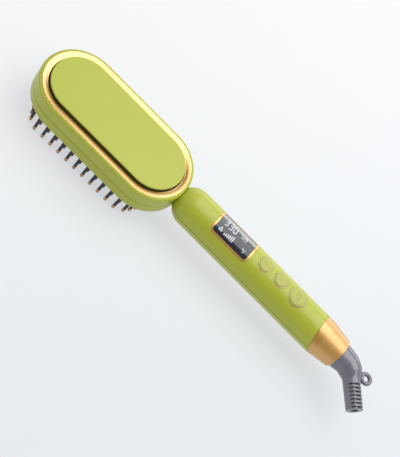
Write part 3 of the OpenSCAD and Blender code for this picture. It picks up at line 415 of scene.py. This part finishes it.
# Turned forms: radii and heights from the ball upwards, with a flare where each meets its plate
pin = dict(footZ=4.1, footR=1.02, bevelZ=4.4, bevelR=1.12, radius=1.15, topZ=16.9, flare=0.5, flareZ=17.7,
           endZ=18.25)
tip = dict(ball=1.25, collarR=1.2, collarZ=4.0, round=0.15, endZ=4.2)
tooth = dict(ball=0.9, ballZ=3.1, radius=1.3, topZ=17.8, flare=0.4, flareZ=18.25, endZ=18.7)
pinProfile = np.concatenate([
    [[0, pin["footZ"]], [pin["footR"], pin["footZ"]], [pin["bevelR"], pin["bevelZ"]],
     [pin["radius"], pin["topZ"]]],
    arc((pin["radius"] + pin["flare"], pin["flareZ"]), pin["flare"], 180, 90, 5), [[0, pin["endZ"]]]])
tipProfile = np.concatenate([
    arc((0, tip["ball"]), tip["ball"], -90, 16, 10), [[tip["collarR"], tip["collarZ"]]],
    arc((tip["collarR"] - tip["round"], tip["collarZ"]), tip["round"], 0, 90, 4)[1:], [[0, tip["endZ"]]]])
toothProfile = np.concatenate([
    arc((0, tooth["ballZ"]), tooth["ball"], -90, 0, 7), [[tooth["radius"], tooth["topZ"]]],
    arc((tooth["radius"] + tooth["flare"], tooth["flareZ"]), tooth["flare"], 180, 90, 4),
    [[0, tooth["endZ"]]]])
makePiece("outerPins", *turnedAt(pinPlaces(), pinProfile, pins["sides"]), "darkNylon", "brush",
          "dark_nylon", ["outer_pins"])
makePiece("pinTips", *turnedAt(pinPlaces(), tipProfile, pins["sides"]), "tanResin", "brush", "tan_tip",
          ["pin_tips"])
makePiece("heatedTeeth", *turnedAt(toothPlaces(), toothProfile, pins["sides"]), "ceramicCoating", "brush",
          "coated_aluminium", ["heated_teeth"])
print("pins and teeth made,", len(pinPlaces()), "and", len(toothPlaces()))

# Handle: axis height, radius, dome and the two seams; the collar's seam leans along the handle with height
handle = dict(axisZ=27.9, radius=13.9, domeX=73.7, domeFrom=32, domeSteps=24, straightX=80,
              straightSteps=12, seamEnd=193.9, seamHigh=0.34, seamOut=0.03, seamIn=0.2, collarX=194.3,
              collarLean=0.38, collarOut=0.02, collarHalf=0.11)


def sweep(sections, closed):
    # a flat section carried along a path: a row of points for each place on it, ends capped if open
    points = np.asarray(sections, float)
    rows, columns = points.shape[:2]
    faces = [list(face) for face in gridFaces(rows, columns, closed, True)]
    if not closed:
        faces += [list(range(columns))[::-1], list(range((rows - 1) * columns, rows * columns))]
    return points.reshape(-1, 3), faces


def joined(parts):
    # several pieces of points and faces as one
    starts = np.cumsum([0] + [len(points) for points, made in parts])
    faces = [[int(corner) + int(start) for corner in face]
             for (points, made), start in zip(parts, starts) for face in made]
    return np.concatenate([points for points, made in parts]), faces


def partingLine(side):
    # round the dome by angle, then straight: a thin dark strip just proud of the handle's widest line,
    # painted shade of the parting line
    turn = np.radians(np.linspace(handle["domeFrom"], 90, handle["domeSteps"]))
    run = np.linspace(handle["straightX"], handle["seamEnd"], handle["straightSteps"])
    x = np.concatenate([handle["domeX"] - handle["radius"] * np.cos(turn), run])
    y = np.concatenate([handle["radius"] * np.sin(turn), np.full(len(run), handle["radius"])]) * side
    outX = np.concatenate([-np.cos(turn), np.zeros(len(run))])
    outY = np.concatenate([np.sin(turn), np.ones(len(run))]) * side
    out = np.array([-handle["seamIn"], handle["seamOut"], handle["seamOut"], -handle["seamIn"]])
    z = handle["axisZ"] + np.array([-0.5, -0.5, 0.5, 0.5]) * handle["seamHigh"]
    return sweep(np.stack([x[:, None] + outX[:, None] * out, y[:, None] + outY[:, None] * out,
                           np.broadcast_to(z, (len(x), 4))], -1), False)


def collarLine():
    # round the handle by angle, leaning along it with height: a thin strip over the collar's joint
    turn = np.radians(np.arange(0, 360, 5))[:, None]
    radius = handle["radius"] + np.array([-handle["seamIn"], handle["collarOut"], handle["collarOut"],
                                          -handle["seamIn"]])
    z = np.cos(turn) * radius
    x = handle["collarX"] - handle["collarLean"] * z + np.array([-1, -1, 1, 1]) * handle["collarHalf"]
    return sweep(np.stack([x, np.sin(turn) * radius, handle["axisZ"] + z], -1), True)


# the handle's parting lines drawn as dark strips of painted shade
makePiece("handleSeamShade", *joined([partingLine(-1), partingLine(1)]), "oliveSeal", "brush", "green_shell")
makePiece("collarSeam", *collarLine(), "blackSeal", "brush", "gold_plated")


def onHandle(plan, level):
    # plan points lifted onto cylinders round the axis: height is the root of level squared less y squared
    z = handle["axisZ"] + np.sqrt(level ** 2 - plan[..., 1] ** 2)
    return np.concatenate([plan, z[..., None]], -1)


def inlay(paths, width, low, high, step=0.4):
    # strokes on the handle's top: even steps along each path, half the width to each side, low to high
    parts = []
    for path in paths:
        path = np.asarray(path, float)
        length = np.concatenate([[0], np.cumsum(np.hypot(*np.diff(path, axis=0).T))])
        along = np.linspace(0, length[-1], max(2, math.ceil(length[-1] / step) + 1))
        line = np.stack([np.interp(along, length, path[:, axis]) for axis in (0, 1)], -1)
        heading = np.gradient(line, axis=0)
        heading /= np.hypot(heading[:, 0], heading[:, 1])[:, None]
        across = np.stack([-heading[:, 1], heading[:, 0]], -1) * width / 2
        plan = np.stack([line - across, line + across, line + across, line - across], 1)
        parts.append(sweep(onHandle(plan, np.array([low, low, high, high])), False))
    return joined(parts)


def keyBand(x, inner, outer, low, high, edge):
    # a turned band whose height follows the handle's curve, with small bevels on both rims
    turn = np.radians(np.arange(0, 360, 5))[:, None]
    radius = np.array([inner, outer, outer, outer - edge, inner + edge, inner])
    level = np.array([low, low, high - edge, high, high, high - edge])
    return sweep(onHandle(np.stack([x + np.cos(turn) * radius, np.sin(turn) * radius], -1), level), True)


# Key rings: champagne bands between two dark bronze hairlines of painted shade
keyX = (134.313, 148.7045, 164.91)
keyRings = dict(outer=(5.7, 5.7, 7.3), cap=(4.6, 4.6, 6.2), low=13.3, high=14.04, edge=0.16, line=0.22,
                lineHigh=13.95, lineEdge=0.02, capGap=0.1, seatGap=0.12, seatOut=0.02)
rims = list(zip(keyX, keyRings["cap"], keyRings["outer"]))
bands = [keyBand(x, cap + keyRings["capGap"] + keyRings["line"], outer - keyRings["line"],
                 keyRings["low"], keyRings["high"], keyRings["edge"]) for x, cap, outer in rims]
# dark bands under each ring that show as hairlines at its edges: painted shade
shadeSeats = [keyBand(x, cap + keyRings["seatGap"], outer + keyRings["seatOut"],
                 keyRings["low"], keyRings["lineHigh"], keyRings["lineEdge"]) for x, cap, outer in rims]
makePiece("keyRings", *joined(bands), "champagnePlating", "brush", "gold_plated", ["button_rings"])
makePiece("keyRingShadeLines", *joined(shadeSeats), "bronzeShadow", "brush", "gold_plated")

# Display: seven-segment figures, a degree unit, rising bars and a small fan mark
segments = {"a": [(0, 1), (1, 1)], "b": [(1, 1), (1, 0.5)], "c": [(1, 0.5), (1, 0)], "d": [(0, 0), (1, 0)],
            "e": [(0, 0), (0, 0.5)], "f": [(0, 0.5), (0, 1)], "g": [(0, 0.5), (1, 0.5)]}
figures = {"3": "abgcd", "0": "abcdef", "5": "afgcd", "8": "abcdefg", "F": "afge"}
display = dict(low=13.80, high=13.88, gap=0.22, stroke=0.56, fine=0.36, barStroke=0.7, fanStroke=0.6,
               big=dict(text="330", x=95.6, y=-0.6, width=2.3, height=5.4, pitch=3.8),
               small=dict(text="58", x=109.6, y=1.0, width=1.8, height=3.9, pitch=3.0),
               unit=dict(text="F", x=117.0, y=-6.6, width=1.3, height=2.4, pitch=1),
               degreeOut=1.0, degreeR=0.35, barX=100.0, barY=-6.4, barPitch=1.4, bars=6, barLow=1.3,
               barRise=0.55, fanX=96.2, fanY=-5.0, fanOut=0.9, fanR=0.45, fanHalf=150, fanAt=(90, 210, 330))


def figureStrokes(text, x, y, width, height, pitch):
    # strokes of a row of figures, each segment shortened at both ends
    strokes = []
    for place, sign in enumerate(text):
        for key in figures[sign]:
            ends = np.array(segments[key], float) * (width, height) + (x + place * pitch, y)
            unit = (ends[1] - ends[0]) / np.hypot(*(ends[1] - ends[0]))
            strokes.append([ends[0] + unit * display["gap"], ends[1] - unit * display["gap"]])
    return strokes


def circleStroke(x, y, radius, start, end):
    # part of a circle as a path, angles in degrees
    return arc((x, y), radius, start, end, 19)


def barStroke(number):
    # one upright bar, taller with its number
    x = display["barX"] + number * display["barPitch"]
    return [(x, display["barY"]), (x, display["barY"] + display["barLow"] + display["barRise"] * number)]


def fanStroke(angle):
    # one blade of the fan: an open circle at an angle from the fan's middle
    return circleStroke(display["fanX"] + display["fanOut"] * math.cos(math.radians(angle)),
                        display["fanY"] + display["fanOut"] * math.sin(math.radians(angle)),
                        display["fanR"], angle - display["fanHalf"], angle + display["fanHalf"])


unit = display["unit"]
degree = circleStroke(unit["x"] - display["degreeOut"], unit["y"] + unit["height"],
                      display["degreeR"], 0, 350)
drawn = [(figureStrokes(**display["big"]), display["stroke"]),
         ([barStroke(number) for number in range(display["bars"])], display["barStroke"]),
         ([fanStroke(angle) for angle in display["fanAt"]], display["fanStroke"]),
         (figureStrokes(**display["small"]), display["fine"]),
         (figureStrokes(**unit) + [degree], display["fine"])]
inlays = [inlay(paths, width, display["low"], display["high"]) for paths, width in drawn]
makePiece("displayFigures", *joined(inlays), "litSegments", "brush", "display_glass")

# Key legends, read with the head up: a plus, a minus, and a ring with a bar for power
keys = dict(arm=1.5, power=1.9, powerFrom=215, powerTo=505, barOut=0.5, stroke=0.42, low=14.1, high=14.201)
across = [[(0, -keys["arm"]), (0, keys["arm"])]]
along = [[(-keys["arm"], 0), (keys["arm"], 0)]]
powerMark = [circleStroke(0, 0, keys["power"], keys["powerFrom"], keys["powerTo"]),
             [(-keys["power"] - keys["barOut"], 0), (-keys["barOut"], 0)]]
legends = {"plus": across + along, "minus": across, "power": powerMark}
for name, x in zip(legends, keyX):
    moved = [np.asarray(path, float) + (x, 0) for path in legends[name]]
    makePiece(name + "Legend", *inlay(moved, keys["stroke"], keys["low"], keys["high"]), "oliveInk", name,
              "pale_green")
print("seams, figures and legends made")

# Strain relief: a tapered elbow that narrows to a slotted sleeve with an open bore
relief = dict(startX=213.3, bendX=225.0, bend=math.radians(50), reach=6.0, sleeve=30.8, neckR=10.0,
              taper=0.12, narrowFrom=15.0, narrowTo=22.0, sleeveR=6.2, endR=5.9, bore=2.8, boreDepth=12.0,
              edge=0.2, rows=64, turnStep=5, slots=7, slotAt=14.05, slotPitch=2.6, slotW=1.45,
              slotDepth=2.0, wall=0.03, wallTurn=0.6, columns=((-52, 13), (19, 77), (103, 161), (167, 232)))
relief["arcR"] = relief["reach"] / math.tan(relief["bend"] / 2)
relief["first"] = relief["bendX"] - relief["reach"] - relief["startX"]
relief["length"] = relief["first"] + relief["arcR"] * relief["bend"] + relief["sleeve"] - relief["reach"]


def reliefLine(along):
    # by length: straight, an arc through the bend, straight; with the direction away from the bend's middle
    angle = np.clip((along - relief["first"]) / relief["arcR"], 0, relief["bend"])
    beyond = np.maximum(along - relief["first"] - relief["arcR"] * relief["bend"], 0)
    x = (relief["startX"] + np.minimum(along, relief["first"]) + relief["arcR"] * np.sin(angle)
         + beyond * math.cos(relief["bend"]))
    y = -relief["arcR"] * (1 - np.cos(angle)) - beyond * math.sin(relief["bend"])
    return np.stack([x, y], -1), np.stack([np.sin(angle), np.cos(angle)], -1)


def reliefRadius(along):
    # the sleeve's slight taper, plus the neck's swell that fades out past the bend
    fade = np.clip((along - relief["narrowFrom"]) / (relief["narrowTo"] - relief["narrowFrom"]), 0, 1)
    smooth = fade * fade * (3 - 2 * fade)
    swell = (relief["neckR"] - relief["sleeveR"] - relief["taper"] * along) * (1 - smooth)
    share = np.clip((along - relief["length"] + relief["sleeve"]) / relief["sleeve"], 0, 1)
    return relief["sleeveR"] + (relief["endR"] - relief["sleeveR"]) * share + swell


def reliefBody():
    # rows by length and columns by angle from the top, both doubled at the slots' walls
    centres = (relief["length"] - relief["sleeve"] + relief["slotAt"]
               + np.arange(relief["slots"]) * relief["slotPitch"])
    walls = [centres + side * relief["slotW"] / 2 + wall
             for side in (-1, 1) for wall in (-relief["wall"], relief["wall"])]
    even = np.linspace(0, relief["length"] - relief["edge"], relief["rows"])
    along = np.unique(np.concatenate([even, *walls]))
    slotted = (np.abs(along[:, None] - centres) < relief["slotW"] / 2).any(1)
    edges = np.array(relief["columns"]).ravel()
    angle = np.unique(np.round(np.concatenate([np.arange(0, 360, relief["turnStep"]), edges % 360,
                                               (edges + relief["wallTurn"]) % 360]), 3))
    cut = np.any([(angle - low) % 360 < high - low for low, high in relief["columns"]], axis=0)
    radius = reliefRadius(along)[:, None] - relief["slotDepth"] * (slotted[:, None] & cut)
    last = reliefRadius(relief["length"])
    ends = [(relief["length"], last - relief["edge"]),
            (relief["length"], relief["bore"] + relief["edge"]),
            (relief["length"] - relief["edge"], relief["bore"]),
            (relief["length"] - relief["boreDepth"], relief["bore"])]
    along = np.concatenate([along, [place for place, size in ends]])
    radius = np.concatenate([radius] + [np.full((1, len(angle)), size) for place, size in ends])
    middle, out = reliefLine(along)
    turn = np.radians(angle)
    plan = middle[:, None] + out[:, None] * (radius * np.sin(turn))[..., None]
    z = handle["axisZ"] + radius * np.cos(turn)
    return sweep(np.concatenate([plan, z[..., None]], -1), False)


# Hanging loop on a short flared stem, on the outer side of the bend
hang = dict(out=12.0, along=8.0, radius=3.4, section=1.6, turnStep=6, aroundStep=20,
            stem=((4.5, 2.6), (6.4, 2.5), (6.9, 2.0), (7.4, 1.6), (8.0, 1.4), (9.0, 1.3)))
onward = np.array([math.cos(relief["bend"]), -math.sin(relief["bend"])])
outward = np.array([math.sin(relief["bend"]), math.cos(relief["bend"])])
stemFoot = np.array([relief["bendX"], 0]) + hang["along"] * onward


def hangLoop():
    # a round section turned about the loop's middle
    turn, around = np.meshgrid(np.radians(np.arange(0, 360, hang["turnStep"])),
                               np.radians(np.arange(0, 360, hang["aroundStep"])), indexing="ij")
    reach = hang["radius"] + hang["section"] * np.cos(around)
    middle = stemFoot + hang["out"] * outward
    z = handle["axisZ"] + hang["section"] * np.sin(around)
    x = middle[0] + reach * np.cos(turn)
    y = middle[1] + reach * np.sin(turn)
    return sweep(np.stack([x, y, z], -1), True)


def hangStem():
    # round sections that shrink on the way out
    around = np.radians(np.arange(0, 360, hang["aroundStep"]))
    place, size = np.array(hang["stem"]).T
    plan = stemFoot + place[:, None, None] * outward + (size[:, None] * np.cos(around))[..., None] * onward
    z = handle["axisZ"] + size[:, None] * np.sin(around)
    return sweep(np.concatenate([plan, z[..., None]], -1), False)


makePiece("strainRelief", *joined([reliefBody(), hangLoop(), hangStem()]), "greyElastomer", "swivel",
          "grey_elastomer", ["strain_relief"])
print("strain relief made")

# CAD nodes that keep their own form and get the real finish
kept = {
    "mouldedAbs": ["handle_upper_shell", "handle_lower_shell"],
    "keyAbs": ["minus_button", "plus_button", "power_button"],
    "satinPlating": ["display_bezel"],
    "satinGold": ["end_collar"],
    "darkNylon": ["pin_frame", "neck_link", "swivel_housing", "controller_chip", "triac"],
    "ceramicCoating": ["heating_plate"],
    "firedCeramic": ["ceramic_heater", "thermal_fuse"],
    "pressedMica": ["insulation_sheet", "heat_shield"],
    "zincSteel": ["pressure_strip", "strip_screws", "frame_screws", "link_screws", "handle_screws",
                  "board_screws", "switch_bodies"],
    "phosphorBronze": ["contact_springs", "contact_ring", "contact_pin"],
    "castEpoxy": ["thermistor"],
    "siliconeSleeve": ["heater_leads"],
    "darkSleeve": ["sensor_leads", "supply_leads"],
    "smokedAcrylicReflection": ["display_window"],
    "glassCell": ["display_module"],
    "glassLaminate": ["circuit_board"],
    "mustardBox": ["capacitor"],
    "acetal": ["minus_plunger", "plus_plunger", "power_plunger", "swivel_core"],
}
for look, names in kept.items():
    for name in names:
        for holder in nodes[name].material_slots:
            holder.material = material[look]
print("finishes on the CAD nodes set")

# Camera at the photograph's angle
view = dict(place=(-0.048441, -0.397659, 0.568511), right=(0.70574, 0.54730, 0.44988),
            up=(-0.70568, 0.59936, 0.37787), back=(-0.06283, -0.58415, 0.80921), lens=79.19, sensor=36,
            clip=(0.01, 50))
cameraData = bpy.data.cameras.new("camera")
cameraData.sensor_width = view["sensor"]
cameraData.lens = view["lens"]
cameraData.clip_start, cameraData.clip_end = view["clip"]
camera = bpy.data.objects.new("camera", cameraData)
bpy.context.scene.collection.objects.link(camera)
right, up, back = Vector(view["right"]), Vector(view["up"]), Vector(view["back"])
camera.matrix_world = Matrix.Translation(view["place"]) @ Matrix((right, up, back)).transposed().to_4x4()
bpy.context.scene.camera = camera

# Floor: matt painted board, cooler toward the front, bright to the eye and in reflections, with shadow
floorLook = dict(near="E0E4E8", far="F3F4F6", paint="EDEFF0", fleck="F1F2F3", fleckMm=25, rough=0.9,
                 gloss=0.2, glow=0.7, half=4.0, under=0.0002, slope=(-0.706, 0.599, 0.0), reach=0.22)
floorMaterial, tree, out = newMaterial("paintedBoard")
place = addNode(tree, "ShaderNodeTexCoord").outputs["Object"]
speck = addNode(tree, "ShaderNodeTexNoise", {"Scale": 1000 / floorLook["fleckMm"], "Detail": 2.0},
                {"Vector": place}).outputs["Fac"]
paint = addNode(tree, "ShaderNodeMix",
                {"A": linearColour(floorLook["paint"]), "B": linearColour(floorLook["fleck"])},
                {"Factor": speck}, data_type="RGBA").outputs["Result"]
slope = addNode(tree, "ShaderNodeVectorMath", {1: floorLook["slope"]}, {0: place}, operation="DOT_PRODUCT")
fade = addNode(tree, "ShaderNodeMapRange",
               {"From Min": -floorLook["reach"], "From Max": floorLook["reach"]},
               {"Value": slope.outputs["Value"]}, interpolation_type="SMOOTHSTEP").outputs["Result"]
shade = addNode(tree, "ShaderNodeMix",
                {"A": linearColour(floorLook["near"]), "B": linearColour(floorLook["far"])},
                {"Factor": fade}, data_type="RGBA").outputs["Result"]
rays = addNode(tree, "ShaderNodeLightPath").outputs
seen = addNode(tree, "ShaderNodeMath", None, {0: rays["Is Camera Ray"], 1: rays["Is Glossy Ray"]},
               operation="MAXIMUM").outputs[0]
seen = addNode(tree, "ShaderNodeMath", None, {0: seen, 1: rays["Is Transmission Ray"]},
               operation="MAXIMUM").outputs[0]
share = addNode(tree, "ShaderNodeMath", {1: floorLook["glow"]}, {0: seen}, operation="MULTIPLY").outputs[0]
board = addNode(tree, "ShaderNodeBsdfPrincipled",
                {"Roughness": floorLook["rough"], "Specular IOR Level": floorLook["gloss"]},
                {"Base Color": paint})
glow = addNode(tree, "ShaderNodeEmission", {"Strength": 1.0}, {"Color": shade})
mixed = addNode(tree, "ShaderNodeMixShader", None,
                {0: share, 1: board.outputs["BSDF"], 2: glow.outputs["Emission"]})
tree.links.new(mixed.outputs["Shader"], out.inputs["Surface"])
corners = [(x * floorLook["half"], y * floorLook["half"], -floorLook["under"])
           for x, y in ((-1, -1), (1, -1), (1, 1), (-1, 1))]
floorMesh = bpy.data.meshes.new("floor")
floorMesh.from_pydata(corners, [], [(0, 1, 2, 3)])
floorMesh.materials.append(floorMaterial)
floor = bpy.data.objects.new("floor", floorMesh)
bpy.context.scene.collection.objects.link(floor)

# Room: pale walls, with a soft dark screen high in front and a small one high behind
room = dict(walls="F2F4F6", strength=0.8,
            screens=[dict(toward=(0.0, -0.79, 0.61), inner=18, outer=48, keep=0.4),
                     dict(toward=(-0.20, 0.49, 0.85), inner=5, outer=10, keep=0.1)])
world = bpy.data.worlds.new("room")
bpy.context.scene.world = world
world.use_nodes = True
tree = world.node_tree
tree.nodes.clear()
out = tree.nodes.new("ShaderNodeOutputWorld")
heading = addNode(tree, "ShaderNodeTexCoord").outputs["Generated"]
level = addNode(tree, "ShaderNodeValue").outputs[0]
level.default_value = room["strength"]
for screen in room["screens"]:
    toward = Vector(screen["toward"]).normalized()
    near = addNode(tree, "ShaderNodeVectorMath", {1: toward}, {0: heading}, operation="DOT_PRODUCT")
    dim = addNode(tree, "ShaderNodeMapRange",
                  {"From Min": math.cos(math.radians(screen["outer"])),
                   "From Max": math.cos(math.radians(screen["inner"])),
                   "To Min": 1.0, "To Max": screen["keep"]},
                  {"Value": near.outputs["Value"]}, interpolation_type="SMOOTHSTEP").outputs["Result"]
    level = addNode(tree, "ShaderNodeMath", None, {0: level, 1: dim}, operation="MULTIPLY").outputs[0]
sky = addNode(tree, "ShaderNodeBackground", {"Color": linearColour(room["walls"])}, {"Strength": level})
tree.links.new(sky.outputs["Background"], out.inputs["Surface"])

# Soft boxes by their radiance: one wide box overhead and a low strip behind
lamps = {
    "topBox": dict(place=(0.40, 0.50, 1.20), aim=(0.40, 0.50, 0.0), size=(1.40, 1.40), radiance=2.25),
    "backStrip": dict(place=(0.0, 1.3, 0.32), aim=(0.0, 0.0, 0.03), size=(1.8, 0.36), radiance=2.2),
}
for name, lamp in lamps.items():
    data = bpy.data.lights.new(name, "AREA")
    data.shape, data.size, data.size_y = "RECTANGLE", *lamp["size"]
    data.energy = lamp["radiance"] * math.pi * lamp["size"][0] * lamp["size"][1]
    light = bpy.data.objects.new(name, data)
    light.location = lamp["place"]
    light.rotation_euler = (Vector(lamp["aim"]) - Vector(lamp["place"])).to_track_quat("-Z", "Y").to_euler()
    light.visible_camera = False
    bpy.context.scene.collection.objects.link(light)

bpy.context.scene.view_settings.view_transform = "Standard"
print("camera, floor and lights set")
